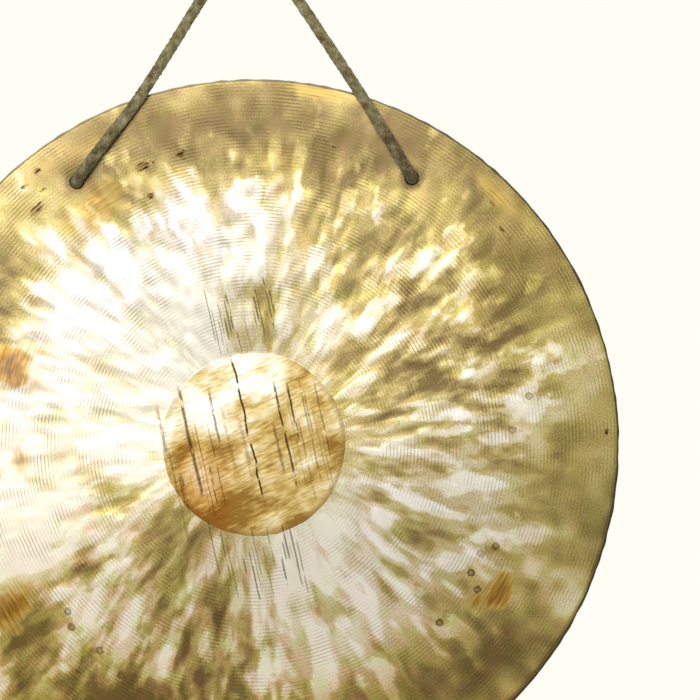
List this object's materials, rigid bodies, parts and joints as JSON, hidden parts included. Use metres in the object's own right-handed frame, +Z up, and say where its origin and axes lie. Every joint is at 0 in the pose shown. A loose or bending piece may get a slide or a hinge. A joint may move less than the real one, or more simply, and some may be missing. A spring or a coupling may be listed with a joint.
{
  "type": "hanging wind gong",
  "caption": "Flat hammered bronze wind gong (tam-tam) hung by a cord sling from an S-hook and a swivel ceiling eye.",
  "frame": {"origin": "centre of the ceiling plate's top face, where it meets the ceiling", "axes": "+Z up, out of the ceiling face; -Y out of the gong's playing face; +X to the right of a player facing it"},
  "size_m": [0.4999, 0.062, 0.678],
  "materials": {
    "bronze": "hammered and turned bronze with a golden brown patina",
    "cord": "braided matt olive and tan cord",
    "whipping_twine": "waxed tan twine",
    "hook_steel": "zinc plated wire",
    "fitting_steel": "satin steel",
    "washer_brass": "plain brass"
  },
  "bodies": {
    "ceiling_mount": {"ceiling_plate": "fitting_steel", "thrust_washer": "washer_brass"},
    "swivel": {"swivel_eye": "fitting_steel", "swivel_nut": "fitting_steel"},
    "hook": {"s_hook": "hook_steel"},
    "sling": {"hanging_cord": "cord"},
    "gong": {"gong_plate": "bronze", "left_stopper_knot": "cord", "right_stopper_knot": "cord", "left_tail_whipping": "whipping_twine", "right_tail_whipping": "whipping_twine"}
  },
  "joints": [
    {"name": "swivel_turn", "type": "hinge", "parent": "ceiling_mount", "child": "swivel", "pos_m": [0, 0, -0.006], "axis": [0, 0, 1], "continuous": true},
    {"name": "hook_swing", "type": "hinge", "parent": "swivel", "child": "hook", "pos_m": [0, 0, -0.0407], "axis": [1, 0, 0], "range_deg": [-25, 25]},
    {"name": "sling_sway", "type": "hinge", "parent": "hook", "child": "sling", "pos_m": [0, 0, -0.085], "axis": [0, 1, 0], "range_deg": [-15, 15]},
    {"name": "gong_tilt", "type": "hinge", "parent": "sling", "child": "gong", "pos_m": [0, 0, -0.2469], "axis": [-1, 0, 0], "range_deg": [0, 20]}
  ]
}
